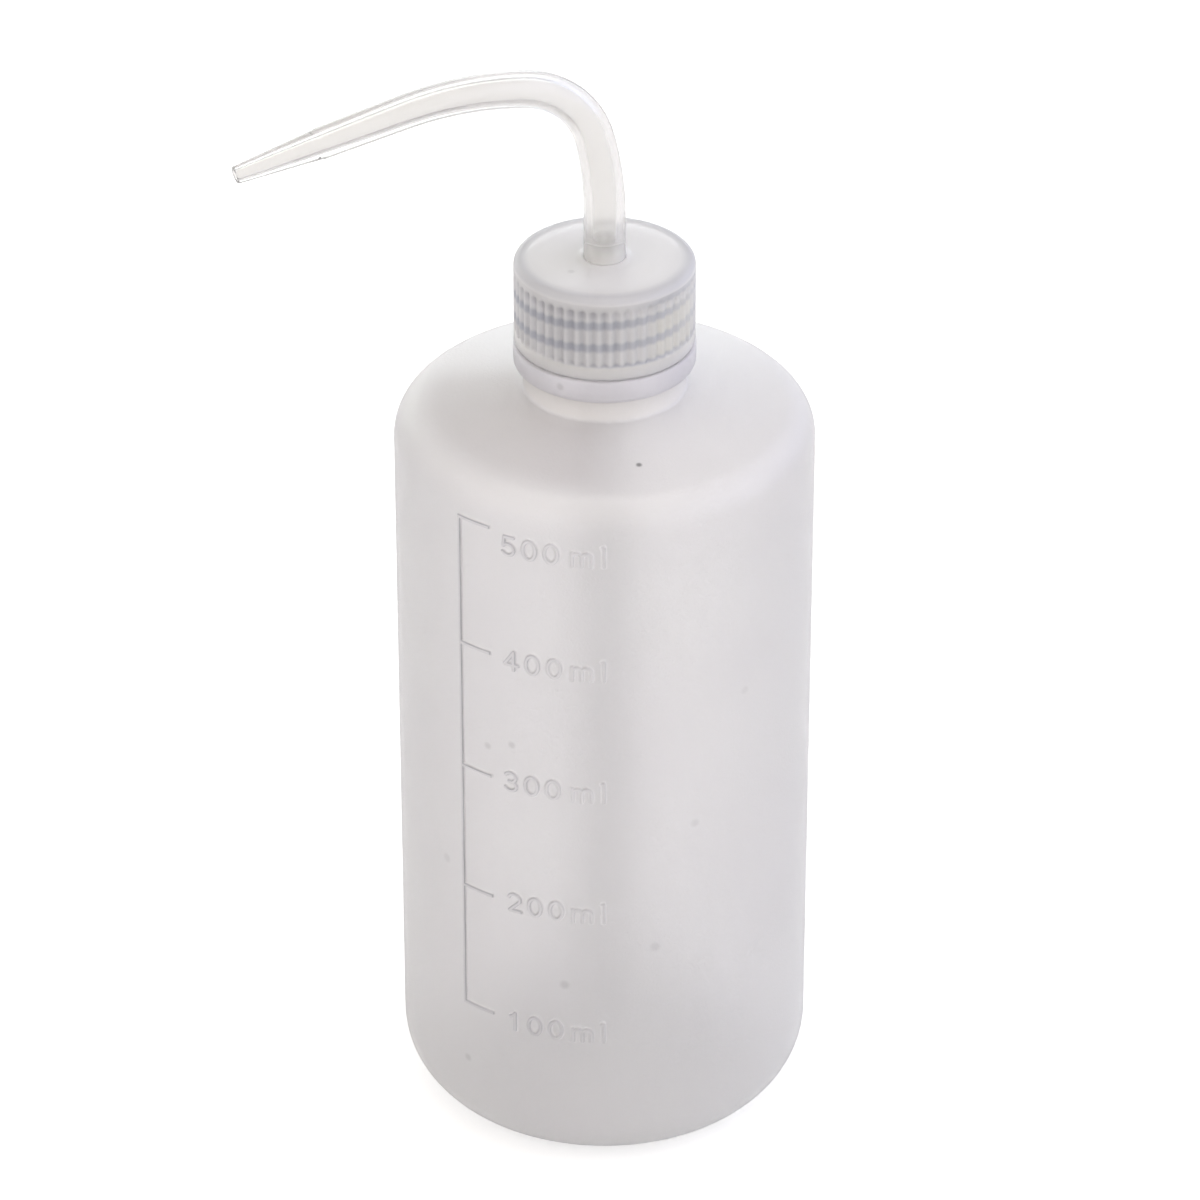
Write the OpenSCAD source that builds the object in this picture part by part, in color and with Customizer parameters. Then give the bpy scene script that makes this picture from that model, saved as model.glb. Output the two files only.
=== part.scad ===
// Wash bottle, 500 ml: a squeeze bottle with a screw cap, a bent spout and a
// dip tube. The origin is the middle of the base, where the bottle stands.
// The scale is on the -Y side, and the spout points towards -X.

/* [Bottle] */
// Outer diameter of the body
bottle_d = 73; // [64:0.5:90]
// Height at which the plain neck leaves the shoulder
neck_foot_h = 142.5; // [120:0.5:180]
// Wall thickness of the blown body
wall = 0.9; // [0.7:0.1:1.6]
// Radius of the rounded heel
heel_r = 12.5; // [8:0.5:15]
// Radius of the rounded edge between wall and shoulder
shoulder_r = 6.5; // [4:0.5:12]
// Slope of the shoulder in degrees
shoulder_slope = 11.5; // [6:0.5:18]
// Height of the pushed-up middle of the base
base_rise = 3.5; // [1:0.5:5]

/* [Neck] */
// Outer diameter of the plain neck
neck_d = 28.1; // [27:0.1:29]
// Height of the plain neck below the flange
neck_h = 4.3; // [3:0.1:6]
// Outer diameter of the flange
flange_d = 31.5; // [30:0.1:33]
// Height of the flange
flange_h = 4.4; // [3:0.1:5.5]
// Diameter of the threaded neck between its threads
finish_d = 25.1; // [24.5:0.1:25.5]
// Height of the threaded neck above the flange
finish_h = 13.1; // [12.5:0.1:15]
// Diameter of the mouth
mouth_d = 21.6; // [20:0.1:22]
// Outer diameter over the thread
thread_d = 27.4; // [26.8:0.1:27.6]
// Rise of the thread in one turn
thread_pitch = 4.23; // [4:0.01:4.4]
// Turns of the bottle's thread
thread_turns = 2.25; // [1.5:0.05:2.3]

/* [Scale] */
// Height of the 100 ml mark
first_mark_h = 31.4; // [24:0.1:40]
// Highest mark, in steps of 100 ml
top_mark = 5; // [1:1:5]
// Direction of the scale's upright line, counted from -Y
scale_turn = -42.4; // [-90:0.1:90]
// Length of a mark along the wall
mark_len = 6.9; // [3:0.1:10]
// Width of the scale's lines
line_w = 0.7; // [0.4:0.1:1.2]
// Height of the scale's lines above the wall
line_relief = 0.3; // [0.1:0.05:0.5]

/* [Cap] */
// Outer diameter of the cap
cap_d = 31.2; // [30.8:0.1:33]
// Thickness of the cap's top
cap_top_t = 1.5; // [1:0.1:2.5]
// Radius of the cap's rounded upper edge
cap_edge_r = 1; // [0.5:0.1:1.2]
// Height of the plain ring below the ribs
cap_ring_h = 2.6; // [1.5:0.1:4]
// Number of ribs round the cap
rib_count = 50; // [36:2:60]
// Depth of the grooves between the ribs
rib_depth = 0.45; // [0.2:0.05:0.5]
// Turns of the cap's thread
cap_thread_turns = 1.1; // [0.8:0.05:1.2]
// Outer diameter of the collar round the spout
collar_d = 8.8; // [8.6:0.1:10]
// Height of the collar
collar_h = 0.7; // [0.4:0.1:2]
// Thickness of the sealing washer in the cap
liner_t = 1.2; // [0.8:0.1:1.6]

/* [Spout] */
// Outer diameter of the spout in the cap
spout_d = 7.2; // [6.6:0.1:7.4]
// Outer diameter where the pointed tip starts
spout_end_d = 5.4; // [4.6:0.1:6]
// Outer diameter at the tip
tip_d = 3; // [2.6:0.1:3.6]
// Length of the pointed tip
tip_len = 15; // [8:0.5:25]
// Bore in the cap
spout_bore_d = 4; // [3:0.1:4.4]
// Bore at the tip
tip_bore_d = 1.6; // [1:0.1:2]
// Height above the cap at which the spout starts to bend
spout_rise = 8.2; // [4:0.1:20]
// Radius of the gentle bends before and after the main one
gentle_r = 60; // [40:1:120]
// Radius of the main bend
bend_r = 16; // [12:0.5:30]
// Turn of the first gentle bend in degrees
first_turn = 14; // [4:1:20]
// Turn of the main bend in degrees
main_turn = 66; // [50:1:75]
// Turn of the last gentle bend in degrees
last_turn = 21; // [5:1:25]
// Length of the straight outer end, tip and all
straight_len = 30; // [26:0.5:60]
// Direction in which the spout points, counted from -X towards -Y
spout_turn = 22.5; // [-180:0.5:180]

/* [Dip tube] */
// Outer diameter of the dip tube
dip_d = 8.8; // [8.4:0.1:9.4]
// Length of the spout's end inside the dip tube
dip_grip = 12; // [6:0.5:20]
// Height of the dip tube's lowest point above the table
dip_foot_h = 8; // [7:0.5:20]
// Slant of the dip tube's cut end in degrees
dip_cut = 30; // [0:5:45]

/* [Fits] */
// Gap between the cap and the bottle's flange
flange_gap = 0.3; // [0.2:0.05:0.6]
// Radial gap between the thread's crests and the opposite wall
thread_gap = 0.35; // [0.3:0.05:0.45]
// Radial play of the spout in the cap
swivel_play = 0.05; // [0.02:0.01:0.1]
// Axial play between cap, washer and mouth
axial_play = 0.05; // [0.02:0.01:0.1]
// Radial squeeze of the dip tube on the spout
dip_squeeze = 0.03; // [0.01:0.01:0.06]

/* [Hidden] */
$fn = 96;
eps = 0.01;

// Bottle, from the table up
body_r = bottle_d / 2;
neck_r = neck_d / 2;
heel_x = body_r - heel_r;
shoulder_x = body_r - shoulder_r;
shoulder_end_x = shoulder_x + shoulder_r * sin(shoulder_slope);
shoulder_rise = (shoulder_end_x - neck_r) * tan(shoulder_slope);
wall_top_h = neck_foot_h - shoulder_rise - shoulder_r * cos(shoulder_slope);
stand_r = heel_x - 2.5;
dome_r = (stand_r * stand_r + base_rise * base_rise) / (2 * base_rise);
flange_z = neck_foot_h + neck_h;
flange_top = flange_z + flange_h;
mouth_z = flange_top + finish_h;
flange_edge_r = 1.2;
lip_r = 0.5;
foot_fillet = 1.2;

// Scale: a mark for each 100 ml, as far as the straight wall reaches
bore_r = body_r - wall;
mark_step = 100000 / (PI * bore_r * bore_r);
marks = min(top_mark, 1 + floor((wall_top_h - line_w - first_mark_h) / mark_step));
line_angle = line_w / body_r * 180 / PI;
mark_angle = mark_len / body_r * 180 / PI;

// Threads: both ridges have the same trapezium section
thread_root = 2.1;
thread_crest = 0.9;
thread_steps = 48;
thread_fade = 30;
thread_start_z = flange_top + 1.6;
thread_start = -150;
cap_thread_start = 100;
cap_thread_lift = thread_pitch * (cap_thread_start / 360 + 0.5);

// Cap and washer
cap_z = flange_top + flange_gap;
liner_z = mouth_z + axial_play;
ceiling_z = liner_z + liner_t + axial_play;
cap_top = ceiling_z + cap_top_t;
cap_r = cap_d / 2;
cap_bore_r = thread_d / 2 + thread_gap;
cap_crest_r = finish_d / 2 + thread_gap;
rib_z = cap_z + cap_ring_h;
rib_top = cap_top - cap_edge_r;
rib_cut_r = PI * cap_r / rib_count * 0.55;
hole_r = spout_d / 2 + swivel_play;

// Spout: lengths are measured along its middle line from the first bend
bead_r = spout_d / 2 + 1;
bead_h = 1.4;
bead_top = ceiling_z - axial_play;
bead_z = bead_top - bead_h;
liner_hole_r = bead_r + 0.4;
bend_z = cap_top + spout_rise;
first_len = gentle_r * first_turn * PI / 180;
main_len = bend_r * main_turn * PI / 180;
last_len = gentle_r * last_turn * PI / 180;
s_main = first_len;
s_last = s_main + main_len;
s_straight = s_last + last_len;
s_end = s_straight + straight_len;
s_tip = s_end - tip_len;
tip_step = 0.12;

// The swept bend starts this far below the round riser's top, and this much slimmer
seam_len = 1;
seam_inset = 0.06;

// Dip tube
dip_top = bead_z;
dip_bore_r = spout_d / 2 - dip_squeeze;
spigot_z = dip_top - dip_grip;

// Part of the path from s = a to s = b
function path_span(a, b, step) = [for (i = [0 : ceil((b - a) / step)]) a + (b - a) * i / ceil((b - a) / step)];

// Turn of the spout from the upright at the length s
function path_turn(s) =
    s < s_main ? first_turn * s / first_len :
    s < s_last ? first_turn + main_turn * (s - s_main) / main_len :
    first_turn + main_turn + last_turn * min(1, (s - s_last) / last_len);

// Point reached on an arc of radius r that starts at p with turn t0 and ends with t1
function arc_end(p, r, t0, t1) = [p[0] + r * (cos(t0) - cos(t1)), p[1] + r * (sin(t1) - sin(t0))];

p_main = arc_end([0, 0], gentle_r, 0, first_turn);
p_last = arc_end(p_main, bend_r, first_turn, first_turn + main_turn);
full_turn = first_turn + main_turn + last_turn;
p_straight = arc_end(p_last, gentle_r, first_turn + main_turn, full_turn);

// Point [out, up] of the middle line at the length s
function path_point(s) =
    s < s_main ? arc_end([0, 0], gentle_r, 0, path_turn(s)) :
    s < s_last ? arc_end(p_main, bend_r, first_turn, path_turn(s)) :
    s < s_straight ? arc_end(p_last, gentle_r, first_turn + main_turn, path_turn(s)) :
    p_straight + (s - s_straight) * [sin(full_turn), cos(full_turn)];

// Outer and inner radius at the length s
function outer_r(s) =
    s < s_tip ? (spout_d + (spout_end_d - spout_d) * s / s_tip) / 2 :
    (spout_end_d + (tip_d - spout_end_d) * (s - s_tip) / tip_len) / 2 - tip_step * (s_end - s) / tip_len;
function inner_r(s) =
    (spout_bore_d + (tip_bore_d - spout_bore_d) * pow(s / s_end, 2)) / 2;

// Corner of a ring of the swept spout, pointing towards -X
function ring_point(s, r, a) =
    let (p = path_point(s), t = path_turn(s))
    [-p[0] - r * cos(a) * cos(t), r * sin(a), bend_z + p[1] - r * cos(a) * sin(t)];

// Faces that join rings of n corners into a closed tube
function tube_faces(rings, n) = concat(
    [[for (j = [n - 1 : -1 : 0]) j]],
    [for (i = [0 : rings - 2], j = [0 : n - 1])
        [i * n + j, i * n + (j + 1) % n, (i + 1) * n + (j + 1) % n, (i + 1) * n + j]],
    [[for (j = [0 : n - 1]) (rings - 1) * n + j]]);

// Solid swept along the lengths ss with the radii rs
module swept(ss, rs) {
    n = 24;
    points = [for (i = [0 : len(ss) - 1], j = [0 : n - 1]) ring_point(ss[i], rs[i], 360 * j / n)];
    polyhedron(points, tube_faces(len(ss), n));
}

// Helical ridge that starts at the angle a0 and the height z0. It stands on the
// radius root and ends at the radius crest, which may lie inside or outside it.
module thread_ridge(root, crest, turns, a0, z0) {
    n = ceil(turns * thread_steps);
    side = crest > root ? 1 : -1;
    sunk = root - side * 0.4;
    points = [for (i = [0 : n])
        let (
            turn = 360 * turns * i / n,
            a = a0 + turn,
            z = z0 + thread_pitch * turn / 360,
            fade = min(1, 0.15 + turn / thread_fade, 0.15 + (360 * turns - turn) / thread_fade),
            top = sunk + (crest - sunk) * fade
        )
        for (c = [[sunk, -thread_root / 2], [top, -thread_crest / 2], [top, thread_crest / 2], [sunk, thread_root / 2]])
        [c[0] * cos(a), c[0] * sin(a), z + c[1]]];
    faces = tube_faces(n + 1, 4);
    polyhedron(points, side > 0 ? faces : [for (f = faces) [for (j = [len(f) - 1 : -1 : 0]) f[j]]]);
}

// Half section of the body as a solid form, drawn in by inset
module body_section(inset) {
    end_z = wall_top_h + (shoulder_r - inset) * cos(shoulder_slope);
    end_x = shoulder_x + (shoulder_r - inset) * sin(shoulder_slope);
    difference() {
        union() {
            translate([0, heel_r]) square([body_r - inset, wall_top_h - heel_r]);
            translate([0, inset]) square([heel_x, wall_top_h - inset]);
            translate([heel_x, heel_r]) circle(heel_r - inset);
            translate([shoulder_x, wall_top_h]) circle(shoulder_r - inset);
            polygon([
                [0, wall_top_h - 1],
                [shoulder_x, wall_top_h - 1],
                [end_x, end_z],
                [0, end_z + end_x * tan(shoulder_slope)]
            ]);
        }
        translate([0, base_rise - dome_r]) circle(dome_r + inset);
    }
}

// Rounding where the neck meets the shoulder
module foot_section() {
    x = neck_r + foot_fillet;
    z = neck_foot_h - foot_fillet * tan(shoulder_slope) + foot_fillet / cos(shoulder_slope);
    difference() {
        polygon([
            [neck_r - 1, z],
            [x, z],
            [x - foot_fillet * sin(shoulder_slope), z - foot_fillet * cos(shoulder_slope)],
            [neck_r - 1, neck_foot_h - 1]
        ]);
        translate([x, z]) circle(foot_fillet);
    }
}

// Half section of the neck with its flange and lip
module neck_section() {
    translate([0, neck_foot_h - 2]) square([neck_r, neck_h + 3]);
    foot_section();
    translate([0, flange_z]) square([flange_d / 2 - flange_edge_r, flange_h]);
    translate([0, flange_z + flange_edge_r]) square([flange_d / 2, flange_h - flange_edge_r - lip_r]);
    translate([flange_d / 2 - flange_edge_r, flange_z + flange_edge_r]) circle(flange_edge_r);
    translate([0, flange_top - lip_r]) square([flange_d / 2 - lip_r, lip_r]);
    translate([flange_d / 2 - lip_r, flange_top - lip_r]) circle(lip_r);
    translate([0, flange_top - 1]) square([finish_d / 2, finish_h + 1 - lip_r]);
    translate([0, mouth_z - 1]) square([finish_d / 2 - lip_r, 1]);
    translate([finish_d / 2 - lip_r, mouth_z - lip_r]) circle(lip_r);
}

// Half section of the room inside the bottle
module room_section() {
    body_section(wall);
    translate([0, wall_top_h]) square([mouth_d / 2, mouth_z - wall_top_h + 1]);
    polygon([
        [0, neck_foot_h - wall - 1],
        [neck_r - wall, neck_foot_h - wall - 1],
        [neck_r - wall, neck_foot_h],
        [mouth_d / 2, flange_z],
        [0, flange_z]
    ]);
}

// Ridge on the wall from the height z, h high and a degrees wide
module wall_ridge(z, h, a) {
    rotate([0, 0, scale_turn - 90 - line_angle / 2])
        rotate_extrude(angle = a)
            translate([body_r - wall / 2, z - line_w / 2]) square([wall / 2 + line_relief, h]);
}

module bottle() {
    color([0.91, 0.9, 0.93]) {
        difference() {
            rotate_extrude() difference() {
                union() {
                    body_section(0);
                    neck_section();
                }
                room_section();
                translate([-bottle_d, -1]) square([bottle_d, mouth_z + 2]);
            }
        }
        thread_ridge(finish_d / 2, thread_d / 2, thread_turns, thread_start, thread_start_z);
        wall_ridge(first_mark_h, (marks - 1) * mark_step + line_w, line_angle);
        for (i = [0 : marks - 1])
            wall_ridge(first_mark_h + i * mark_step, line_w, mark_angle);
    }
}

module cap() {
    color([0.84, 0.84, 0.86]) {
        difference() {
            union() {
                rotate_extrude() {
                    translate([0, cap_z]) square([cap_r, rib_z - cap_z]);
                    translate([0, cap_z]) square([cap_r - cap_edge_r, cap_top - cap_z]);
                    translate([cap_r - cap_edge_r, cap_top - cap_edge_r]) intersection() {
                        circle(cap_edge_r);
                        square(cap_edge_r);
                    }
                    translate([0, cap_top - eps]) square([collar_d / 2, collar_h + eps]);
                }
                translate([0, 0, rib_z]) linear_extrude(rib_top - rib_z) rib_section();
            }
            translate([0, 0, cap_z - 1]) cylinder(r = cap_bore_r, h = ceiling_z - cap_z + 1);
            translate([0, 0, cap_z - 1]) cylinder(r = hole_r, h = cap_top + collar_h - cap_z + 2);
        }
        thread_ridge(cap_bore_r, cap_crest_r, cap_thread_turns,
            thread_start + cap_thread_start, thread_start_z + cap_thread_lift);
    }
}

// Ribbed section of the cap's skirt
module rib_section() {
    difference() {
        circle(cap_r);
        for (i = [0 : rib_count - 1])
            rotate(360 * i / rib_count) translate([cap_r + rib_cut_r - rib_depth, 0]) circle(rib_cut_r, $fn = 24);
    }
}

module cap_liner() {
    color([0.95, 0.94, 0.92]) translate([0, 0, liner_z]) difference() {
        cylinder(r = cap_crest_r - 0.2, h = liner_t);
        translate([0, 0, -1]) cylinder(r = liner_hole_r, h = liner_t + 2);
    }
}

module spout() {
    outer = concat(path_span(-seam_len, s_tip, 3.5), [s_tip + 0.2], path_span(s_tip + 3, s_end, 4));
    inner = concat(path_span(-seam_len, s_end, 3.5), [s_end + 1]);
    color([0.95, 0.95, 0.94]) rotate([0, 0, spout_turn]) difference() {
        union() {
            translate([0, 0, spigot_z]) cylinder(d = spout_d, h = bend_z - spigot_z);
            translate([0, 0, bead_z]) cylinder(r = bead_r, h = bead_h);
            swept(outer, [for (s = outer) outer_r(max(0, s)) - seam_inset]);
        }
        translate([0, 0, spigot_z - 1]) cylinder(d = spout_bore_d, h = bend_z - spigot_z + 0.9);
        swept(inner, [for (s = inner) inner_r(max(0, s)) - seam_inset]);
    }
}

module dip_tube() {
    cut = tan(dip_cut) * dip_d / 2;
    color([0.9, 0.91, 0.93]) difference() {
        translate([0, 0, dip_foot_h]) cylinder(d = dip_d, h = dip_top - dip_foot_h);
        translate([0, 0, dip_foot_h - 1]) cylinder(r = dip_bore_r, h = dip_top - dip_foot_h + 2);
        translate([0, 0, dip_foot_h + cut]) rotate([0, dip_cut, 0])
            translate([-2 * dip_d, -dip_d, -2 * dip_d]) cube([4 * dip_d, 2 * dip_d, 2 * dip_d]);
    }
}

bottle();
cap();
cap_liner();
spout();
dip_tube();
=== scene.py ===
import math

import bpy
import numpy as np
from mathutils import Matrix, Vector


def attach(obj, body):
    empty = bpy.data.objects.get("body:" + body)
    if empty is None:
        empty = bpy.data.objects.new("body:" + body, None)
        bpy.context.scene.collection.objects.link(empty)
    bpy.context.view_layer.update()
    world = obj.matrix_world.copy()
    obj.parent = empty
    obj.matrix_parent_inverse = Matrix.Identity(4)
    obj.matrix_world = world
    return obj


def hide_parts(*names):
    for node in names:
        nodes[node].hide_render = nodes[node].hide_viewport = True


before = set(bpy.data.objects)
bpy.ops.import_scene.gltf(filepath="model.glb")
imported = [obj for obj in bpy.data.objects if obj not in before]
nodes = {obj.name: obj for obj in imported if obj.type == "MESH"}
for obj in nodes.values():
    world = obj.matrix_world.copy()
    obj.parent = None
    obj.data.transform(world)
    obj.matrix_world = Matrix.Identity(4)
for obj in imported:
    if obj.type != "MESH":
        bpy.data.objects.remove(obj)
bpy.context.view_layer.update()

scene = bpy.context.scene
MM = 0.001


# ------------------------------------------------------------------ camera
cam_data = bpy.data.cameras.new("camera")
cam_data.sensor_fit = "HORIZONTAL"
cam_data.sensor_width = 36.0
cam_data.lens = 184.87
cam_data.clip_start = 0.05
cam_data.clip_end = 20.0
camera = bpy.data.objects.new("camera", cam_data)
camera.location = (-0.000796, -0.92516, 0.66616)
camera.rotation_euler = (math.radians(90 - 31.5355), 0.0, 0.0)
scene.collection.objects.link(camera)
scene.camera = camera


# --------------------------------------------------------------- mesh tools
def new_object(name, verts, faces):
    mesh = bpy.data.meshes.new(name)
    mesh.from_pydata([tuple(v) for v in verts], [], faces)
    mesh.validate()
    mesh.update()
    mesh.polygons.foreach_set("use_smooth", [True] * len(mesh.polygons))
    obj = bpy.data.objects.new(name, mesh)
    scene.collection.objects.link(obj)
    return obj


def set_tone(obj, tone, milk=None):
    """Stores a colour factor for each vertex, and how much less clear the plastic is there."""
    data = np.ones((len(obj.data.vertices), 4), np.float32)
    data[:, :3] = tone
    obj.data.color_attributes.new("tone", "FLOAT_COLOR", "POINT").data.foreach_set("color", data.ravel())
    if milk is not None:
        obj.data.attributes.new("milk", "FLOAT", "POINT").data.foreach_set("value", milk.astype(np.float32))


def smoothstep(x):
    x = np.clip(x, 0.0, 1.0)
    return x * x * (3 - 2 * x)


def arc(cx, cz, r, a0, a1, n):
    """Points on an arc in the half section, angles in degrees from +r towards +z."""
    a = np.radians(np.linspace(a0, a1, n))
    return [(cx + r * math.cos(t), cz + r * math.sin(t)) for t in a]


def line(p, q, n):
    """Points from p to q, without q."""
    return [(p[0] + (q[0] - p[0]) * i / n, p[1] + (q[1] - p[1]) * i / n) for i in range(n)]


# ------------------------------------------------------- sizes of the bottle
BODY_R, HEEL_R, SHOULDER_R, SLOPE = 36.5, 12.5, 6.5, 11.5
WALL = 0.9
NECK_R, NECK_FOOT, FLANGE_Z, FLANGE_TOP = 14.05, 142.5, 146.8, 151.2
FLANGE_R, FINISH_R, MOUTH_R, MOUTH_Z = 15.75, 12.55, 10.8, 164.3
PITCH = 4.23
sl = math.radians(SLOPE)
HEEL_X, SHOULDER_X = BODY_R - HEEL_R, BODY_R - SHOULDER_R
SHOULDER_END = SHOULDER_X + SHOULDER_R * math.sin(sl)
WALL_TOP = NECK_FOOT - (SHOULDER_END - NECK_R) * math.tan(sl) - SHOULDER_R * math.cos(sl)
STAND_R, BASE_RISE = HEEL_X - 2.5, 3.5
DOME_R = (STAND_R ** 2 + BASE_RISE ** 2) / (2 * BASE_RISE)
DOME_Z = BASE_RISE - DOME_R
MARK_1, MARK_STEP, MARK_LEN, LINE_W = 31.4, 25.116, 6.9, 0.7
RELIEF, FLANK = 0.34, 0.24
SCALE_ARC = -math.radians(42.4) * BODY_R


# --------------------------------------------- strokes of the raised numerals
def ellipse(cx, cy, rx, ry, a0, a1, n=18):
    a = np.radians(np.linspace(a0, a1, n))
    return [(cx + rx * math.cos(t), cy + ry * math.sin(t)) for t in a]


# Each glyph is drawn in a box 1 high, as a list of open or closed strokes
GLYPHS = {
    "0": (0.62, [ellipse(0.31, 0.5, 0.25, 0.44, 0, 360, 29)]),
    "1": (0.62, [[(0.14, 0.74), (0.25, 0.80), (0.34, 0.94), (0.34, 0.06)]]),
    "2": (0.62, [ellipse(0.31, 0.69, 0.235, 0.25, 165, -28, 16) + [(0.10, 0.07), (0.56, 0.07)]]),
    "3": (0.62, [ellipse(0.30, 0.715, 0.22, 0.225, 150, -78, 14) + [(0.24, 0.515)],
                 [(0.24, 0.515), (0.34, 0.50)] + ellipse(0.30, 0.275, 0.25, 0.225, 72, -152, 16)]),
    "4": (0.64, [[(0.43, 0.06), (0.43, 0.94), (0.06, 0.30), (0.60, 0.30)]]),
    "5": (0.62, [[(0.53, 0.94), (0.16, 0.94), (0.11, 0.50)] + ellipse(0.30, 0.33, 0.25, 0.27, 128, -150, 18)]),
    "m": (1.02, [[(0.09, 0.66), (0.09, 0.03)],
                 [(0.09, 0.46)] + ellipse(0.27, 0.46, 0.18, 0.19, 180, 0, 10) + [(0.45, 0.03)],
                 [(0.45, 0.46)] + ellipse(0.63, 0.46, 0.18, 0.19, 180, 0, 10) + [(0.81, 0.03)]]),
    "l": (0.20, [[(0.09, 0.97), (0.09, 0.03)], [(0.03, 0.955), (0.09, 0.97)]]),
}
DIGIT_H, DIGIT_W = 4.0, 4.55
STROKE = 0.72
GRID = 0.138
COLUMNS = 120


def label_segments(text, start, top, gap):
    """Stroke segments of a label, in millimetres along the wall and up."""
    out, x = [], start
    for ch in text:
        width, strokes = GLYPHS[ch]
        for pts in strokes:
            xy = [(x + px * DIGIT_W, top - DIGIT_H + py * DIGIT_H) for px, py in pts]
            out += list(zip(xy[:-1], xy[1:]))
        x += width * DIGIT_W + gap.get(ch, 1.05)
    return out


LABELS = [
    ("500", -18.3, 131.25), ("400", -17.95, 108.5), ("300", -18.15, 83.75),
    ("200", -17.65, 58.55), ("100", -17.85, 33.05),
]
segments = []
for digits, start, top in LABELS:
    segments += label_segments(digits, start, top, {})
    segments += label_segments("ml", -5.95, top, {"m": 0.75})
SEG = np.array(segments, float)


def seg_distance(x, z):
    """Distance of points to the nearest numeral stroke; only rows near a label are looked at."""
    best = np.full(x.shape, 9.0)
    for (ax, az), (bx, bz) in SEG:
        near = ((x > min(ax, bx) - 1) & (x < max(ax, bx) + 1)
                & (z > min(az, bz) - 1) & (z < max(az, bz) + 1))
        if not near.any():
            continue
        px, pz = x[near] - ax, z[near] - az
        dx, dz = bx - ax, bz - az
        t = np.clip((px * dx + pz * dz) / max(dx * dx + dz * dz, 1e-9), 0, 1)
        d = np.hypot(px - t * dx, pz - t * dz)
        best[near] = np.minimum(best[near], d)
    return best


def box_distance(x, z, x0, x1, z0, z1):
    dx = np.maximum(np.maximum(x0 - x, x - x1), 0)
    dz = np.maximum(np.maximum(z0 - z, z - z1), 0)
    inside = np.minimum(np.minimum(x - x0, x1 - x), np.minimum(z - z0, z1 - z))
    return np.where(inside > 0, -inside, np.hypot(dx, dz))


def scale_distance(theta, z):
    """Distance to the edge of the nearest raised line or numeral, less than 0 on it. theta is from -Y."""
    x = theta * BODY_R
    d = seg_distance(x, z) - STROKE / 2
    d = np.minimum(d, box_distance(x, z, SCALE_ARC - LINE_W / 2, SCALE_ARC + LINE_W / 2,
                                   MARK_1 - LINE_W / 2, MARK_1 + 4 * MARK_STEP + LINE_W / 2))
    for i in range(5):
        zc = MARK_1 + i * MARK_STEP
        d = np.minimum(d, box_distance(
            x, z, SCALE_ARC - LINE_W / 2, SCALE_ARC - LINE_W / 2 + MARK_LEN, zc - LINE_W / 2, zc + LINE_W / 2))
    return d


def wall_relief(theta, z):
    """Height of the raised scale above the wall, in millimetres."""
    return RELIEF * smoothstep(0.5 - scale_distance(theta, z) / FLANK)


# ------------------------------------------------------------- bottle shell
def ring_set(verts, radii, zs, thetas):
    """Adds one ring of vertices; radii may differ along it. Returns their indices."""
    start = len(verts)
    for r, z, t in zip(radii, zs, thetas):
        verts.append((r * math.sin(t) * MM, -r * math.cos(t) * MM, z * MM))
    return list(range(start, start + len(thetas)))


def band(faces, low, high):
    n = len(low)
    for j in range(n):
        k = (j + 1) % n
        faces.append((low[j], low[k], high[k], high[j]))


def stitch(faces, fine, fine_t, coarse, coarse_t, fine_below):
    """Joins a ring of many vertices to one of few, whose angles are among the many."""
    where = {round(t, 6): i for i, t in enumerate(fine_t)}
    n, m = len(coarse), len(fine)
    for j in range(n):
        k = (j + 1) % n
        a, b = where[round(coarse_t[j], 6)], where[round(coarse_t[k], 6)]
        run = [a]
        while run[-1] != b:
            run.append((run[-1] + 1) % m)
        run = [fine[i] for i in run]
        if fine_below:
            faces.append(tuple(run + [coarse[k], coarse[j]]))
        else:
            faces.append(tuple([coarse[j], coarse[k]] + run[::-1]))


def thread_height(theta, z):
    """Ridge of the bottle's thread above the finish, in millimetres. theta is counted from -Y."""
    start, turns, z0 = -150.0, 2.25, FLANGE_TOP + 1.6
    angle = math.degrees(theta) - 90.0
    best = 0.0
    for k in range(-1, 4):
        run = (angle - start) % 360.0 + 360.0 * k
        if run < -20 or run > 360 * turns + 20:
            continue
        fade = min(1.0, (run + 8) / 34.0, (360 * turns - run + 8) / 34.0)
        if fade <= 0:
            continue
        dz = abs(z - (z0 + PITCH * run / 360.0))
        h = (13.7 - FINISH_R) * fade * float(smoothstep(np.array((1.12 - dz) / 0.75)))
        best = max(best, h)
    return best


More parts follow.
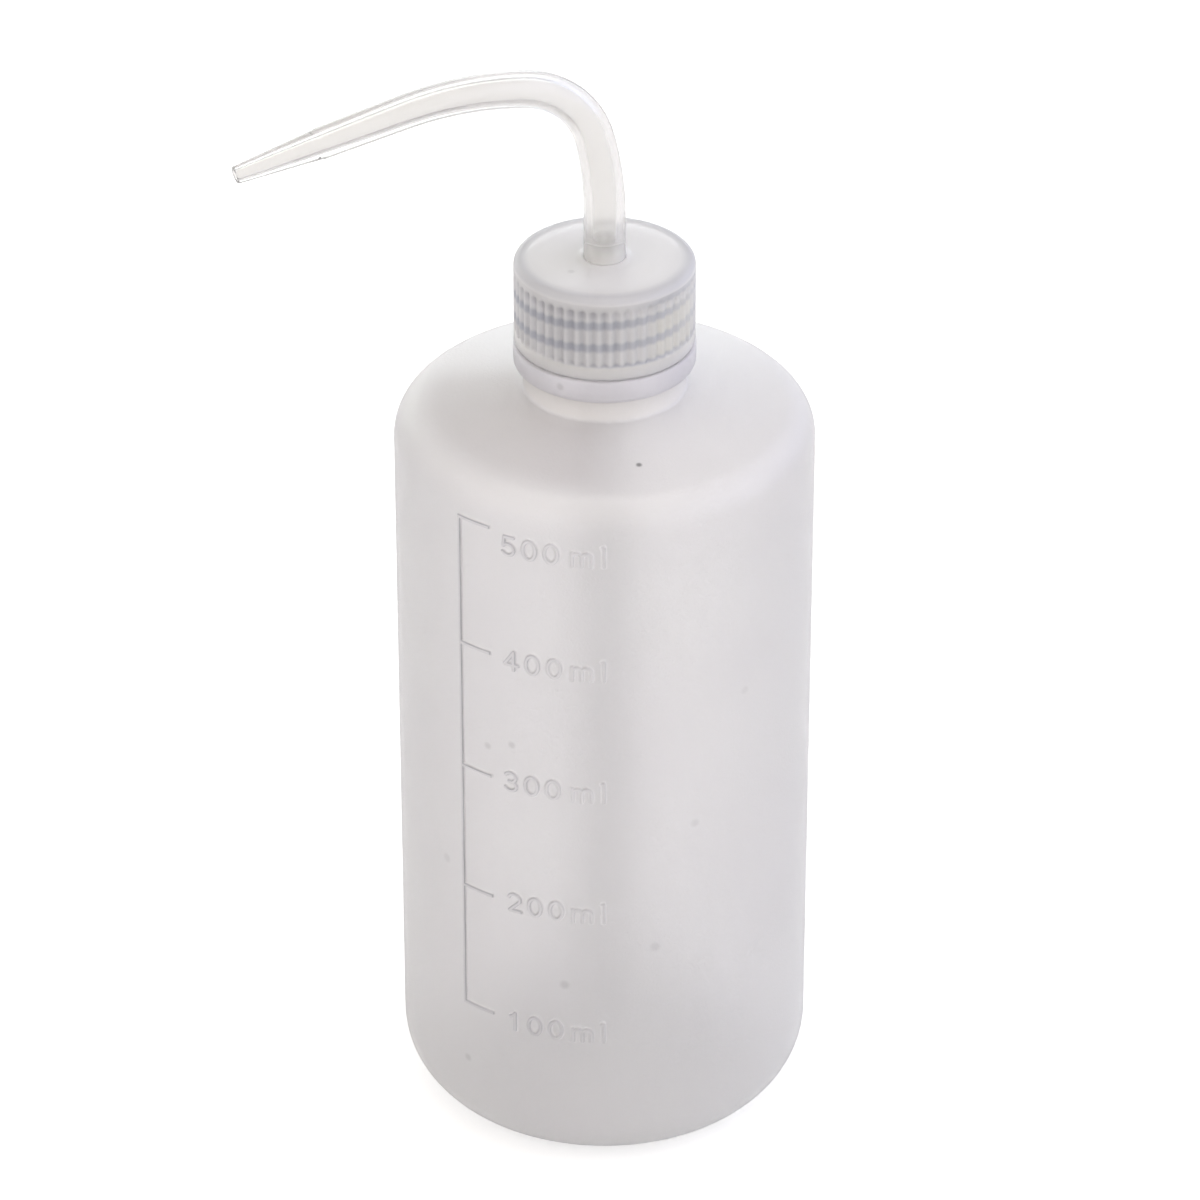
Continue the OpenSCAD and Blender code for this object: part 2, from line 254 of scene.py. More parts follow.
def make_bottle():
    verts, faces = [], []
    coarse_t = [2 * math.pi * i / COLUMNS - math.pi for i in range(COLUMNS)]
    lo, hi = SCALE_ARC / BODY_R - math.radians(1.6), math.radians(1.8)
    fine_t = sorted(set([round(t, 9) for t in coarse_t if not lo < t < hi]
                        + [round(t, 9) for t in coarse_t if lo < t < hi]
                        + [round(t, 9) for t in np.arange(lo, hi, GRID / BODY_R)]))
    kept = []
    base = {round(t, 6) for t in coarse_t}
    for t in fine_t:  # an extra column right beside a coarse one is left out
        if round(t, 6) in base or all(abs(t - c) > 0.4 * GRID / BODY_R for c in coarse_t):
            kept.append(t)
    fine_t = kept

    # base and heel, from the middle of the pushed-up base outwards
    profile = []
    n = 9
    edge = math.degrees(math.asin(STAND_R / DOME_R))
    for i in range(1, n + 1):
        a = math.radians(edge * i / n)
        profile.append((DOME_R * math.sin(a), DOME_Z + DOME_R * math.cos(a)))
    profile[-1] = (STAND_R - 0.25, 0.14)
    profile += [(STAND_R + 0.15, 0.0), (HEEL_X - 0.4, 0.0)]
    profile += arc(HEEL_X, HEEL_R, HEEL_R, -90, -4, 19)
    rings = []
    tip = len(verts)
    verts.append((0, 0, BASE_RISE * MM))
    for r, z in profile:
        rings.append(ring_set(verts, [r] * COLUMNS, [z] * COLUMNS, coarse_t))
    for j in range(COLUMNS):
        faces.append((tip, rings[0][(j + 1) % COLUMNS], rings[0][j]))
    for a, b in zip(rings[:-1], rings[1:]):
        band(faces, a, b)
    last = rings[-1]

    # straight wall with the scale
    zs = [14.0, 19.0, 24.0]
    for i in range(5):
        zc, top = MARK_1 + i * MARK_STEP, LABELS[4 - i][2]
        zs += list(np.arange(top - DIGIT_H - 0.65, max(top, zc + LINE_W / 2) + 0.35, GRID))
        if i < 4:
            zs += list(np.linspace(max(top, zc) + 0.7, LABELS[3 - i][2] - DIGIT_H - 0.85, 5))
    zs = [z for z in sorted(zs) if z < WALL_TOP - 0.05] + [WALL_TOP]
    ft = np.array(fine_t)
    fine_rings = []
    for z in zs:
        r = BODY_R + wall_relief(ft, np.full(ft.shape, z))
        fine_rings.append(ring_set(verts, r, [z] * len(ft), fine_t))
    stitch(faces, fine_rings[0], fine_t, last, coarse_t, False)
    for a, b in zip(fine_rings[:-1], fine_rings[1:]):
        band(faces, a, b)

    # shoulder, neck, flange and finish
    profile = arc(SHOULDER_X, WALL_TOP, SHOULDER_R, 6, 90 - SLOPE, 13)
    shoulder_top = profile[-1]
    foot = 0.6
    fx = NECK_R + foot
    fz = NECK_FOOT - foot * math.tan(sl) + foot / math.cos(sl)
    foot_start = (fx - foot * math.sin(sl), fz - foot * math.cos(sl))
    profile += line(shoulder_top, foot_start, 9)[1:]
    profile += arc(fx, fz, foot, 270 - SLOPE, 180, 6)
    profile += [(NECK_R, fz + 0.6), (NECK_R, FLANGE_Z - 0.25)]
    profile += [(NECK_R + 0.08, FLANGE_Z - 0.04), (NECK_R + 0.3, FLANGE_Z)]
    profile += arc(FLANGE_R - 1.2, FLANGE_Z + 1.2, 1.2, -90, 0, 7)
    profile += [(FLANGE_R, FLANGE_TOP - 1.4)]
    profile += arc(FLANGE_R - 0.5, FLANGE_TOP - 0.5, 0.5, 0, 90, 5)
    profile += [(FINISH_R + 0.9, FLANGE_TOP), (FINISH_R + 0.3, FLANGE_TOP + 0.02), (FINISH_R, FLANGE_TOP + 0.3)]
    thread_from = len(profile)
    profile += [(FINISH_R, z) for z in np.arange(FLANGE_TOP + 0.55, FLANGE_TOP + 12.4, 0.26)]
    thread_to = len(profile)
    profile += arc(FINISH_R - 0.5, MOUTH_Z - 0.5, 0.5, 0, 90, 5)
    profile += [(MOUTH_R + 0.3, MOUTH_Z)]
    rings = []
    for i, (r, z) in enumerate(profile):
        rr = [r] * COLUMNS
        if thread_from <= i < thread_to:
            rr = [r + thread_height(t, z) for t in coarse_t]
        rings.append(ring_set(verts, rr, [z] * COLUMNS, coarse_t))
    stitch(faces, fine_rings[-1], fine_t, rings[0], coarse_t, True)
    for a, b in zip(rings[:-1], rings[1:]):
        band(faces, a, b)
    last = rings[-1]

    # inside, from the mouth down to the middle of the base
    inner = [(MOUTH_R, MOUTH_Z - 0.3)]
    inner += line((MOUTH_R, MOUTH_Z - 2), (MOUTH_R, FLANGE_Z), 5)
    inner += [(MOUTH_R, FLANGE_Z), (MOUTH_R + 1.2, FLANGE_Z - 2.2), (NECK_R - WALL, NECK_FOOT + 0.1)]
    inner += [(NECK_R - WALL + 0.15, NECK_FOOT - 0.75)]
    end = (SHOULDER_X + (SHOULDER_R - WALL) * math.sin(sl), WALL_TOP + (SHOULDER_R - WALL) * math.cos(sl))
    inner += line((NECK_R - WALL + 0.8, end[1] + (end[0] - NECK_R + WALL - 0.8) * math.tan(sl)), end, 5)
    inner += arc(SHOULDER_X, WALL_TOP, SHOULDER_R - WALL, 90 - SLOPE, 0, 9)
    inner += line((BODY_R - WALL, WALL_TOP - 6), (BODY_R - WALL, HEEL_R + 4), 10)
    inner += arc(HEEL_X, HEEL_R, HEEL_R - WALL, 0, -90, 15)
    inner += [(HEEL_X - 1.2, WALL), (STAND_R - 0.35, WALL + 0.16)]
    for i in range(n - 1, 0, -1):
        a = math.radians(edge * i / n)
        inner.append(((DOME_R + WALL) * math.sin(a), DOME_Z + (DOME_R + WALL) * math.cos(a)))
    for r, z in inner:
        ring = ring_set(verts, [r] * COLUMNS, [z] * COLUMNS, coarse_t)
        band(faces, last, ring)
        last = ring
    tip = len(verts)
    verts.append((0, 0, (BASE_RISE + WALL) * MM))
    for j in range(COLUMNS):
        faces.append((last[j], last[(j + 1) % COLUMNS], tip))
    obj = new_object("bottle_shell", verts, faces)
    bottle_tone(obj)
    return obj


def bottle_tone(obj):
    """Tone and milk of the wall: painted shade lines along the raised scale's edges with a painted highlight
    above them, and painted shade on the shoulder, neck and flange.
    """
    co = np.empty(len(obj.data.vertices) * 3)
    obj.data.vertices.foreach_get("co", co)
    x, y, z = co.reshape(-1, 3).T / MM
    theta = np.arctan2(x, -y)
    on = (np.hypot(x, y) > BODY_R - 0.05) & (z > MARK_1 - 4) & (z < WALL_TOP) & (theta < 0.06) & (theta > -0.8)
    t, h, step = theta[on], z[on], 0.05
    d = scale_distance(t, h)
    right = (scale_distance(t + step / BODY_R, h) - scale_distance(t - step / BODY_R, h)) / (2 * step)
    up = (scale_distance(t, h + step) - scale_distance(t, h - step)) / (2 * step)
    # Painted shade: a dark line just inside each stroke's edge, strongest along its top and right edges, over a
    # light grey on the strokes, weaker towards the right of the scale.
    fade = 1.0 - 0.5 * smoothstep((t * BODY_R + 20) / 16)
    lit = np.clip(0.45 + 0.55 * np.maximum(up, right), 0, 1)
    inner_line = smoothstep(1 - np.abs(d + 0.10) / 0.17)
    dark = fade * np.maximum(inner_line * lit, 0.22 * smoothstep(-d / 0.1))
    tone, milk = np.ones((len(x), 3)), np.zeros(len(x))
    # the shoulder is milkier than the wall, and its left front carries a painted shadow of the cap and neck;
    # the neck is milkiest
    angle = np.degrees(np.arctan2(y, x)) % 360
    shoulder = smoothstep((z - WALL_TOP - 1.0) / 6.0)
    shoulder_shade = smoothstep((angle - 150) / 25) * smoothstep((285 - angle) / 30)
    shoulder_shade = shoulder_shade * smoothstep((34 - np.hypot(x, y)) / 6)
    shoulder_shade = shoulder_shade * smoothstep((NECK_FOOT + 0.4 - z) / 0.8)
    milk += 0.35 * shoulder
    tone -= (0.15 * shoulder * shoulder_shade)[:, None] * np.array([0.9, 1.0, 1.0])
    neck = smoothstep((z - NECK_FOOT) / 0.8) * smoothstep((FLANGE_Z + 0.2 - z) / 0.3)
    milk += 0.35 * neck
    # The neck is tinted cream, and darker towards the flange above it as painted shade.
    tone -= neck[:, None] * np.array([0.0, 0.012, 0.03])
    tone -= (neck * smoothstep((z - NECK_FOOT - 1.0) / 3.3))[:, None] * np.array([0.06, 0.06, 0.06])
    # Painted shade: the flange darker and bluer.
    flange = smoothstep((z - FLANGE_Z) / 0.3) * smoothstep((FLANGE_TOP + 0.2 - z) / 0.3)
    tone -= flange[:, None] * np.array([0.07, 0.075, 0.03])
    tone[on] -= dark[:, None] * np.array([0.60, 0.60, 0.56])
    # Painted highlight: the plastic is less clear in a thin line just outside the strokes, mostly above them,
    # so it shows lighter there.
    milk[on] += fade * smoothstep(1 - np.abs(d - 0.15) / 0.16) * np.clip(0.25 + 0.75 * up, 0, 1)
    set_tone(obj, tone, np.clip(milk, 0, 1))


# ---------------------------------------------------------------------- cap
CAP_TOP = 167.1
CAP_R, CAP_Z, CAP_BORE, CEILING, CAP_CREST = 15.6, 151.5, 14.05, 165.6, 12.9
RING_TOP, RIBS, RIB_DEPTH, EDGE = 153.75, 50, 0.45, 1.4
HOLE_R = 3.62


def cap_thread(theta, z):
    """Ridge inside the cap, in millimetres above its bore. theta is counted from -Y."""
    start, turns, z0 = -50.0, 1.1, FLANGE_TOP + 1.6 + PITCH * (100 / 360 + 0.5)
    run0 = (np.degrees(theta) - 90.0 - start) % 360.0
    best = np.zeros_like(theta)
    for k in range(2):
        run = run0 + 360.0 * k
        fade = np.clip(np.minimum((run + 4) / 30.0, (360 * turns - run + 4) / 30.0), 0, 1)
        dz = np.abs(z - (z0 + PITCH * run / 360.0))
        best = np.maximum(best, (CAP_BORE - CAP_CREST) * fade * smoothstep((1.12 - dz) / 0.75))
    return best


def make_cap():
    verts, faces = [], []
    cols = 500
    th = np.array([2 * math.pi * i / cols for i in range(cols)])
    groove = RIB_DEPTH * (0.5 + 0.5 * np.cos(RIBS * th)) ** 1.3
    rows = [(CAP_BORE + 0.25, CAP_Z, 0.0), (CAP_R - 0.35, CAP_Z, 0.0), (CAP_R - 0.1, CAP_Z + 0.1, 0.0),
            (CAP_R, CAP_Z + 0.35, 0.0), (CAP_R, RING_TOP - 0.25, 0.0)]
    for z in np.linspace(RING_TOP, RING_TOP + 0.6, 5):
        rows.append((CAP_R, z, float(smoothstep((z - RING_TOP) / 0.6))))
    rows += [(CAP_R, z, 1.0) for z in np.arange(RING_TOP + 0.9, 164.3, 0.3)]
    rows += [(r, z, float(1 - smoothstep((z - 164.3) / 0.9))) for r, z in
             [(CAP_R, 164.4), (CAP_R, 164.7), (CAP_R, 165.0), (CAP_R, CAP_TOP - EDGE)]]
    rows += [(r, z, 0.0) for r, z in arc(CAP_R - EDGE, CAP_TOP - EDGE, EDGE, 8, 90, 11)]
    rows += [(r, CAP_TOP, 0.0) for r in (12.9, 12.0, 11.2, 10.4, 9.0, 7.5, 6.0, 5.1)]
    rows += [(4.85, CAP_TOP + 0.02, 0.0), (4.6, CAP_TOP + 0.06, 0.0), (4.35, CAP_TOP + 0.12, 0.0),
             (4.1, CAP_TOP + 0.17, 0.0), (3.85, CAP_TOP + 0.2, 0.0), (HOLE_R, CAP_TOP + 0.2, 0.0),
             (HOLE_R, CAP_TOP - 0.5, 0.0), (HOLE_R, CEILING, 0.0), (CAP_BORE / 2, CEILING, 0.0),
             (CAP_BORE - 0.4, CEILING, 0.0)]
    rings = [ring_set(verts, r - groove * w, [z] * cols, th) for r, z, w in rows]
    for z in list(np.arange(CEILING - 0.4, CAP_Z + 0.3, -0.28)) + [CAP_Z + 0.2]:
        rings.append(ring_set(verts, CAP_BORE - cap_thread(th, z), [z] * cols, th))
    for a, b in zip(rings, rings[1:] + rings[:1]):
        band(faces, a, b)
    obj = new_object("cap_shell", verts, faces)

    # the bottle's thread shows through the skirt as darker bands
    co = np.array(verts) / MM
    x, y, z = co.T
    r, angle = np.hypot(x, y), np.degrees(np.arctan2(y, x))
    turn = (z - FLANGE_TOP - 1.6) / PITCH - (angle + 150.0) / 360.0
    away = np.abs(turn - np.round(turn)) * PITCH
    skirt = (r > CAP_R - RIB_DEPTH - 0.3) & (z < CAP_TOP - EDGE + 0.1)
    span = smoothstep((z - RING_TOP) / 0.5) * smoothstep((163.6 - z) / 0.8)
    # The bands are fainter on the right, where the light falls, as painted light.
    dark = smoothstep((1.15 - away) / 0.8) * span * skirt * (1 - 0.45 * smoothstep((angle + 55) / 30))
    top = smoothstep((0.75 - np.abs(z - 165.2)) / 0.4) * skirt
    top = top * smoothstep((angle + 78) / 30) * smoothstep((35 - angle) / 30)
    dark = np.maximum(dark, 0.7 * top)
    # Painted reflection: cream glints between the bands on the right front.
    painted_glint = (1 - dark) * span * skirt * smoothstep((angle + 65) / 15) * smoothstep((angle * -1 - 10) / 15)
    tone = 1 - dark[:, None] * np.array([0.31, 0.29, 0.24]) - painted_glint[:, None] * np.array([0.0, 0.01, 0.07])
    # Painted shade: the rib grooves darker all round except at the right front, where the light falls, and more
    # on the left front and at the rib ends there.
    ribbed = skirt * smoothstep((z - RING_TOP - 0.1) / 0.5) * smoothstep((164.9 - z) / 0.7)
    groove = (0.5 + 0.5 * np.cos(np.radians(RIBS * (angle + 90)))) ** 0.6
    plain = smoothstep((angle + 92) / 30) * smoothstep((25 - angle) / 25)
    grey = smoothstep((-92 - angle) / 22) * smoothstep((angle + 168) / 8)
    upper = smoothstep((z - 162.9) / 0.7) * smoothstep((-84 - angle) / 10) * smoothstep((angle + 160) / 10)
    lower = smoothstep((154.9 - z) / 0.5) * smoothstep((-50 - angle) / 15) * smoothstep((angle + 135) / 15)
    ends = np.maximum(upper, lower)
    shade = ribbed * (0.20 * groove * (1 - 0.9 * plain) + 0.04 * grey + 0.16 * ends * groove)
    tone -= shade[:, None] * np.array([1.0, 1.0, 0.93])
    # Painted shade: the plain ring below the ribs darker and bluer, and a painted shadow along its lowest edge,
    # at the gap above the flange.
    ring = (r > CAP_R - 0.3) * smoothstep((RING_TOP + 0.4 - z) / 0.4)
    tone -= (ring * smoothstep((z - CAP_Z - 0.5) / 0.4))[:, None] * np.array([0.05, 0.055, 0.08])
    tone -= (ring * smoothstep((CAP_Z + 0.35 - z) / 0.25))[:, None] * np.array([0.18, 0.18, 0.16])
    # Painted shade: the top of the skirt and the rounded top edge darker, in place of that edge's bright
    # reflection.
    crown = smoothstep((z - CAP_TOP + EDGE) / 0.8)
    tone -= (0.09 * skirt * smoothstep((z - 163.2) / 1.2) * (1 - crown))[:, None]
    tone -= (crown * smoothstep((r - 13.2) / 1.2))[:, None] * np.array([0.20, 0.195, 0.17])
    set_tone(obj, tone, crown * (0.45 - 0.25 * smoothstep((r - 11) / 3)))
    return obj


# -------------------------------------------------------------------- spout
SPIGOT_Z, BEAD_Z, BEAD_TOP = 152.15, 164.15, 165.55
SPOUT_TURN = 22.5
BEND_Z = CAP_TOP + 8.2
ARCS = [(60.0, 14.0), (16.0, 66.0), (60.0, 21.0)]
STRAIGHT, TIP_LEN = 30.0, 15.0
ARC_LEN = [r * math.radians(t) for r, t in ARCS]
S_END = sum(ARC_LEN) + STRAIGHT
S_TIP = S_END - TIP_LEN


def spout_path(s):
    """(out, up, turn) of the middle line at the length s beyond the first bend."""
    out, up, turn = 0.0, BEND_Z, 0.0
    if s <= 0:
        return out, up + s, 0.0
    for (r, t), length in zip(ARCS, ARC_LEN):
        part = min(s, length)
        new = turn + part / r
        out += r * (math.cos(turn) - math.cos(new))
        up += r * (math.sin(new) - math.sin(turn))
        turn = new
        s -= part
        if s <= 0:
            return out, up, turn
    return out + s * math.sin(turn), up + s * math.cos(turn), turn


def spout_outer(s):
    if s <= 0:
        return 3.6
    if s < S_TIP:
        return 3.6 + (2.7 - 3.6) * s / S_TIP
    k = (s - S_TIP) / TIP_LEN
    return 2.7 + (1.5 - 2.7) * k - 0.12 * (1 - k)


def spout_inner(s):
    return 2.0 + (0.8 - 2.0) * (max(0.0, s) / S_END) ** 2


def make_spout():
    verts, faces, n = [], [], 56
    az = math.radians(SPOUT_TURN)

    def ring(s, r):
        start = len(verts)
        out, up, turn = spout_path(s)
        for j in range(n):
            a = 2 * math.pi * j / n
            x = -out - r * math.cos(a) * math.cos(turn)
            y = r * math.sin(a)
            z = up - r * math.cos(a) * math.sin(turn)
            verts.append(((x * math.cos(az) - y * math.sin(az)) * MM,
                          (x * math.sin(az) + y * math.cos(az)) * MM, z * MM))
        return list(range(start, start + n))

    low = SPIGOT_Z - BEND_Z
    outer = [(low, 3.35), (low + 0.12, 3.52), (low + 0.35, 3.6), (low + 4, 3.6), (BEAD_Z - BEND_Z - 0.15, 3.6),
             (BEAD_Z - BEND_Z, 3.7), (BEAD_Z - BEND_Z, 4.45), (BEAD_Z - BEND_Z + 0.15, 4.6),
             (BEAD_TOP - BEND_Z - 0.15, 4.6), (BEAD_TOP - BEND_Z, 4.45), (BEAD_TOP - BEND_Z, 3.7),
             (BEAD_TOP - BEND_Z + 0.15, 3.6)]
    outer += [(s, 3.6) for s in np.linspace(CAP_TOP - 1.0 - BEND_Z, 0.0, 14)]
    outer += [(s, spout_outer(s)) for s in np.arange(1.0, S_TIP - 1.0, 1.0)]
    outer += [(S_TIP - 0.35, spout_outer(S_TIP - 0.35)), (S_TIP - 0.08, spout_outer(S_TIP - 0.1) - 0.02),
              (S_TIP + 0.08, 2.6), (S_TIP + 0.4, spout_outer(S_TIP + 0.4))]
    outer += [(s, spout_outer(s)) for s in np.arange(S_TIP + 1.5, S_END - 0.4, 1.5)]
    outer += [(S_END - 0.3, 1.5), (S_END - 0.08, 1.44), (S_END, 1.3), (S_END, 1.0)]
    inner = [(S_END - 0.1, 0.86), (S_END - 0.35, 0.81)]
    inner += [(s, spout_inner(s)) for s in np.arange(S_END - 2.0, 0.0, -1.5)]
    inner += [(s, 2.0) for s in np.linspace(0.0, low + 0.5, 30)] + [(low + 0.1, 2.08), (low, 2.3)]
    rings = [ring(s, r) for s, r in outer + inner]
    for a, b in zip(rings, rings[1:] + rings[:1]):
        for j in range(n):
            k = (j + 1) % n
            faces.append((a[k], a[j], b[j], b[k]))
    obj = new_object("spout_tube", verts, faces)
    height = np.array(verts)[:, 2] / MM
    set_tone(obj, 1.0, 0.08 + 0.8 * smoothstep((CAP_TOP + 5.5 - height) / 6.0))
    return obj


# ---------------------------------------------------------------- materials
MAP_SOCKETS = ("From Min", "From Max", "To Min", "To Max")


def nodes_of(name):
    mat = bpy.data.materials.new(name)
    mat.use_nodes = True
    nt = mat.node_tree
    return mat, nt, nt.nodes["Principled BSDF"]


def noise(nt, scale, detail=3.0, rough=0.5, offset=(0, 0, 0)):
    coord = nt.nodes.new("ShaderNodeTexCoord")
    place = nt.nodes.new("ShaderNodeMapping")
    place.inputs["Location"].default_value = offset
    tex = nt.nodes.new("ShaderNodeTexNoise")
    tex.inputs["Scale"].default_value = scale
    tex.inputs["Detail"].default_value = detail
    tex.inputs["Roughness"].default_value = rough
    nt.links.new(coord.outputs["Object"], place.inputs["Vector"])
    nt.links.new(place.outputs["Vector"], tex.inputs["Vector"])
    return tex.outputs["Fac"]


def ramp(nt, source, stops):
    node = nt.nodes.new("ShaderNodeValToRGB")
    els = node.color_ramp.elements
    while len(els) < len(stops):
        els.new(0.5)
    for el, (pos, col) in zip(els, stops):
        el.position = pos
        el.color = (*col, 1.0)
    nt.links.new(source, node.inputs["Fac"])
    return node.outputs["Color"]


def bump(nt, source, strength, distance):
    node = nt.nodes.new("ShaderNodeBump")
    node.inputs["Strength"].default_value = strength
    node.inputs["Distance"].default_value = distance
    nt.links.new(source, node.inputs["Height"])
    return node.outputs["Normal"]


def dusted(nt, colour, specks):
    """Darkens small soft spots; each is (x, y, z, radius) in millimetres and a depth."""
    coord = nt.nodes.new("ShaderNodeTexCoord").outputs["Object"]
    for x, y, z, radius, depth in specks:
        far = nt.nodes.new("ShaderNodeVectorMath")
        far.operation = "DISTANCE"
        far.inputs[1].default_value = (x * MM, y * MM, z * MM)
        nt.links.new(coord, far.inputs[0])
        fade = nt.nodes.new("ShaderNodeMapRange")
        fade.interpolation_type = "SMOOTHSTEP"
        for socket, v in zip(MAP_SOCKETS, (0.25 * radius * MM, radius * MM, 1 - depth, 1)):
            fade.inputs[socket].default_value = v
        nt.links.new(far.outputs["Value"], fade.inputs["Value"])
        scale = nt.nodes.new("ShaderNodeVectorMath")
        scale.operation = "SCALE"
        nt.links.new(colour, scale.inputs[0])
        nt.links.new(fade.outputs["Result"], scale.inputs["Scale"])
        colour = scale.outputs["Vector"]
    return colour


def plastic(name, colours, transmission, roughness, cloud, grain, ior=1.5, rough_var=0.03,
            toned=False, milky=0.0, shine=0.5, specks=()):
    """A translucent plastic: cloudy colour, roughness that varies a little, and a fine grain."""
    mat, nt, bsdf = nodes_of(name)
    colour = ramp(nt, noise(nt, cloud), [(0.35, colours[0]), (0.65, colours[1])])
    if toned:
        own = nt.nodes.new("ShaderNodeAttribute")
        own.attribute_name = "tone"
        mix = nt.nodes.new("ShaderNodeMix")
        mix.data_type = "RGBA"
        mix.blend_type = "MULTIPLY"
        mix.inputs["Factor"].default_value = 1.0
        nt.links.new(colour, mix.inputs["A"])
        nt.links.new(own.outputs["Color"], mix.inputs["B"])
        colour = mix.outputs["Result"]
    if specks:
        colour = dusted(nt, colour, specks)
    nt.links.new(colour, bsdf.inputs["Base Color"])
    low, high = roughness - rough_var, roughness + rough_var
    rough = ramp(nt, noise(nt, cloud * 6, 4.0, 0.6, (3, 1, 2)), [(0.3, (low,) * 3), (0.7, (high,) * 3)])
    nt.links.new(rough, bsdf.inputs["Roughness"])
    bsdf.inputs["IOR"].default_value = ior
    bsdf.inputs["Specular IOR Level"].default_value = shine
    bsdf.inputs["Transmission Weight"].default_value = transmission
    if milky:
        own = nt.nodes.new("ShaderNodeAttribute")
        own.attribute_name = "milk"
        less = nt.nodes.new("ShaderNodeMath")
        less.operation = "MULTIPLY_ADD"
        less.inputs[1].default_value = -milky
        less.inputs[2].default_value = transmission
        nt.links.new(own.outputs["Fac"], less.inputs[0])
        nt.links.new(less.outputs[0], bsdf.inputs["Transmission Weight"])
    scale, strength, distance = grain
    relief = bump(nt, noise(nt, scale, 2.0, 0.6, (1, 5, 2)), strength, distance)
    nt.links.new(relief, bsdf.inputs["Normal"])
    return mat


WALL_SPECKS = [
    (-20.2, -30.4, 87.5, 1.0, 0.22), (-16.0, -32.8, 89.2, 1.0, 0.22), (24.2, -27.3, 97.0, 1.1, 0.12),
    (15.7, -32.9, 73.2, 1.2, 0.15), (-27.7, -23.7, 59.7, 1.3, 0.15), (8.9, -35.4, 48.7, 1.4, 0.18),
    (-7.0, -35.8, 40.9, 1.3, 0.22), (-24.4, -27.1, 19.0, 1.1, 0.2), (-7.6, -13.8, 149.4, 1.0, 0.2),
    (5.8, -24.4, 140.2, 0.75, 0.75),
]
bottle_mat = plastic("bottle_plastic", [(0.965, 0.955, 0.965), (0.985, 0.978, 0.982)], 0.75, 0.30,
                     cloud=28.0, grain=(2600.0, 0.35, 0.0002), rough_var=0.015, toned=True, milky=0.6,
                     specks=WALL_SPECKS)
cap_mat = plastic("cap_plastic", [(0.97, 0.965, 0.975), (0.985, 0.98, 0.985)], 0.6, 0.305,
                  ior=1.49, cloud=60.0, grain=(1800.0, 0.15, 0.0001), rough_var=0.015, toned=True, milky=0.5,
                  specks=[(-5.7, -5.4, 167.1, 0.9, 0.15)])
liner_mat = plastic("liner_plastic", [(0.95, 0.94, 0.93), (0.97, 0.96, 0.95)], 0.0, 0.6,
                    cloud=200.0, grain=(3000.0, 0.3, 0.0002))
spout_mat = plastic("spout_plastic", [(0.935, 0.93, 0.918), (0.955, 0.95, 0.94)], 0.87, 0.12,
                    ior=1.5, cloud=50.0, grain=(900.0, 0.1, 0.0001), rough_var=0.03, milky=0.6,
                     shine=0.9)
tube_mat = plastic("tube_plastic", [(0.975, 0.975, 0.98), (0.985, 0.985, 0.99)], 0.85, 0.31,
                   cloud=40.0, grain=(1500.0, 0.2, 0.0001), rough_var=0.02)


def dress(obj, mat):
    obj.data.materials.clear()
    obj.data.materials.append(mat)
    for slot in obj.material_slots:
        slot.material = mat


bottle = make_bottle()
dress(bottle, bottle_mat)
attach(bottle, "bottle")
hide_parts("bottle")

spout = make_spout()
dress(spout, spout_mat)
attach(spout, "spout")
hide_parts("spout")

cap = make_cap()
dress(cap, cap_mat)
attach(cap, "cap")
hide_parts("cap")

dress(nodes["cap_liner"], liner_mat)
dress(nodes["dip_tube"], tube_mat)


# ------------------------------------------------------------ floor and light
GLOW_SEEN, GLOW_THROUGH = 0.5, 0.33
floor_mesh = bpy.data.meshes.new("floor")
floor_mesh.from_pydata([(-6, -6, 0), (6, -6, 0), (6, 6, 0), (-6, 6, 0)], [], [(0, 1, 2, 3)])
floor = bpy.data.objects.new("floor", floor_mesh)
floor.location = (0, 0, -0.0001)
scene.collection.objects.link(floor)
mat = bpy.data.materials.new("floor_white")
mat.use_nodes = True
nt = mat.node_tree
nt.nodes.clear()
out = nt.nodes.new("ShaderNodeOutputMaterial")
diffuse = nt.nodes.new("ShaderNodeBsdfDiffuse")
diffuse.inputs["Color"].default_value = (0.8, 0.8, 0.8, 1)
glow = nt.nodes.new("ShaderNodeEmission")
path = nt.nodes.new("ShaderNodeLightPath")
through = nt.nodes.new("ShaderNodeMath")
through.operation = "MULTIPLY"
through.inputs[1].default_value = GLOW_THROUGH
either = nt.nodes.new("ShaderNodeMath")
either.operation = "MAXIMUM"
nt.links.new(path.outputs["Is Transmission Ray"], either.inputs[0])
nt.links.new(path.outputs["Is Glossy Ray"], either.inputs[1])
nt.links.new(either.outputs[0], through.inputs[0])
seen = nt.nodes.new("ShaderNodeMath")
seen.operation = "MULTIPLY_ADD"
seen.inputs[1].default_value = GLOW_SEEN
nt.links.new(path.outputs["Is Camera Ray"], seen.inputs[0])
nt.links.new(through.outputs[0], seen.inputs[2])
nt.links.new(seen.outputs[0], glow.inputs["Strength"])
add = nt.nodes.new("ShaderNodeAddShader")
nt.links.new(diffuse.outputs[0], add.inputs[0])
nt.links.new(glow.outputs[0], add.inputs[1])
nt.links.new(add.outputs[0], out.inputs["Surface"])
floor.data.materials.append(mat)

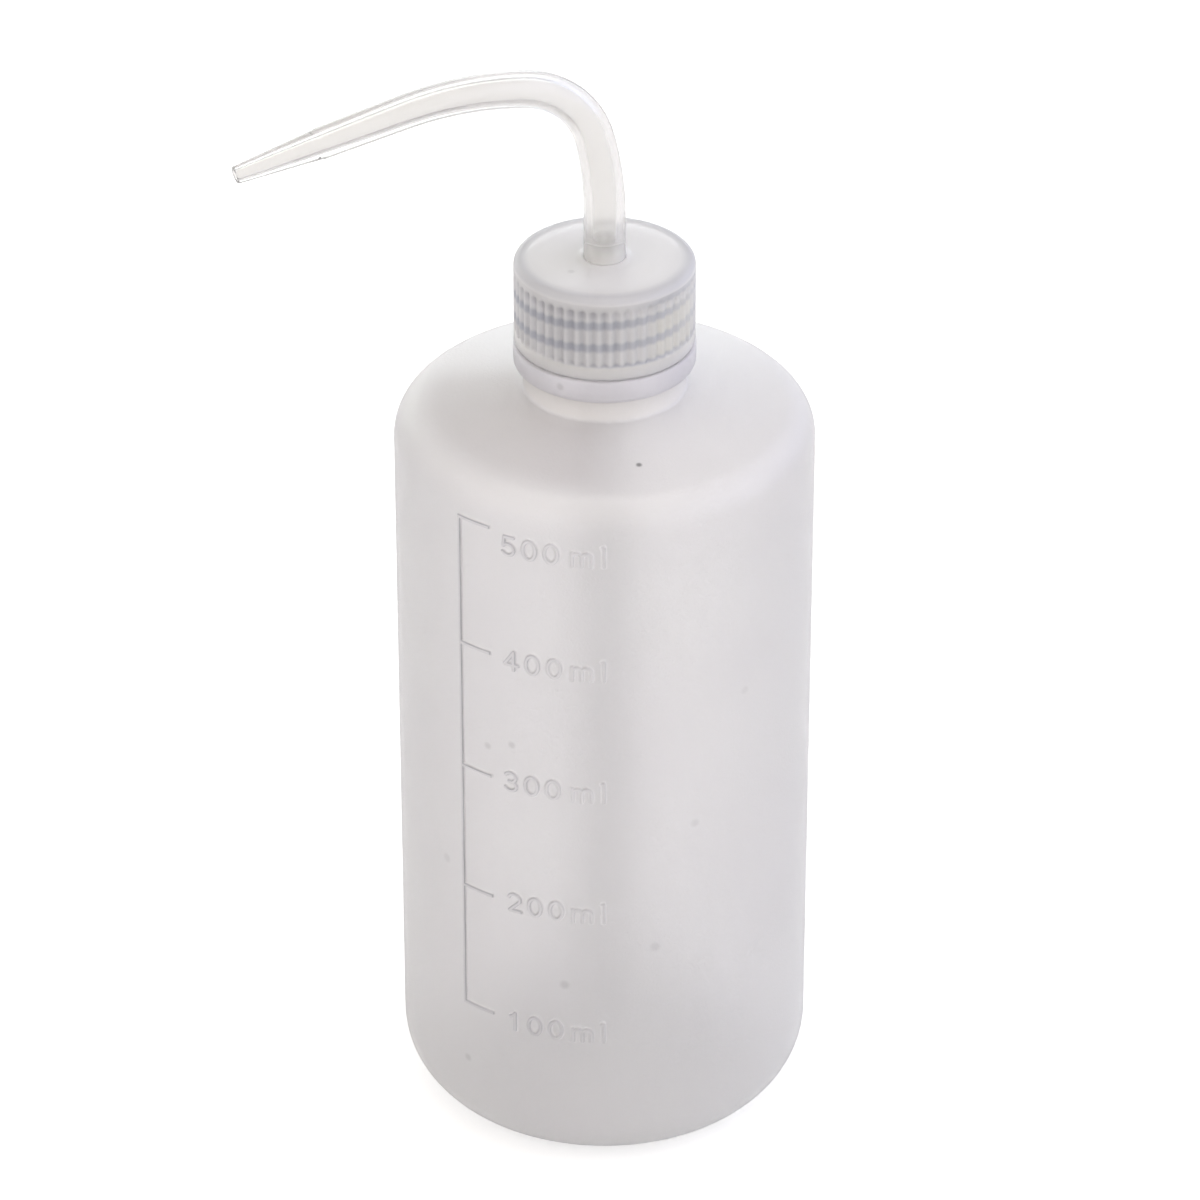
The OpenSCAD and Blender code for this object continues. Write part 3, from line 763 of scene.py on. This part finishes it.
# Soft lobes of light: direction, the cosines where a lobe starts and is full, colour, top elevation
STUDIO = [
    ((0, 0, 1), -2.0, -1.0, (0.713, 0.713, 0.717), None),
    ((0, 0, 1), 0.6, 1.0, (-0.343, -0.405, -0.5), None),
    ((0.6, -0.75, 0.25), 0.3, 1.0, (0.433, 0.414, 0.35), None),
    ((-0.6, -0.75, 0.25), 0.3, 1.0, (0.474, 0.419, 0.388), None),
    ((1, 0.1, 0.3), 0.4, 1.0, (0.507, 0.541, 0.799), None),
    ((0.3, 1, 0.1), 0.8, 0.97, (0.457, 0.482, 0.581), 24),
    ((-0.3, 1, 0.1), 0.8, 0.97, (1.32, 1.426, 1.334), 24),
    ((0, 0, 1), 0.92, 0.98, (1.5, 1.5, 1.5), None),
]
world = bpy.data.worlds.new("studio")
scene.world = world
world.use_nodes = True
wt = world.node_tree
back = wt.nodes["Background"]
where = wt.nodes.new("ShaderNodeTexCoord").outputs["Generated"]


def towards(direction, low, high, least, most):
    """Smooth rise from least to most as the light's direction nears the given one."""
    dot = wt.nodes.new("ShaderNodeVectorMath")
    dot.operation = "DOT_PRODUCT"
    dot.inputs[1].default_value = Vector(direction).normalized()
    wt.links.new(where, dot.inputs[0])
    span = wt.nodes.new("ShaderNodeMapRange")
    span.interpolation_type = "SMOOTHSTEP"
    for socket, v in zip(MAP_SOCKETS, (low, high, least, most)):
        span.inputs[socket].default_value = v
    wt.links.new(dot.outputs["Value"], span.inputs["Value"])
    return span.outputs["Result"]


total = None
for direction, low, high, colour, top in STUDIO:
    amount = towards(direction, low, high, 0.0, 1.0)
    if top is not None:
        cut = wt.nodes.new("ShaderNodeMath")
        cut.operation = "MULTIPLY"
        wt.links.new(amount, cut.inputs[0])
        low_edge, high_edge = math.sin(math.radians(top - 4)), math.sin(math.radians(top + 4))
        wt.links.new(towards((0, 0, 1), low_edge, high_edge, 1.0, 0.0), cut.inputs[1])
        amount = cut.outputs[0]
    lobe = wt.nodes.new("ShaderNodeVectorMath")
    lobe.operation = "SCALE"
    lobe.inputs[0].default_value = colour
    wt.links.new(amount, lobe.inputs["Scale"])
    if total is None:
        total = lobe.outputs[0]
    else:
        both = wt.nodes.new("ShaderNodeVectorMath")
        both.operation = "ADD"
        wt.links.new(total, both.inputs[0])
        wt.links.new(lobe.outputs[0], both.inputs[1])
        total = both.outputs[0]
wt.links.new(total, back.inputs["Color"])

scene.view_settings.view_transform = "Standard"
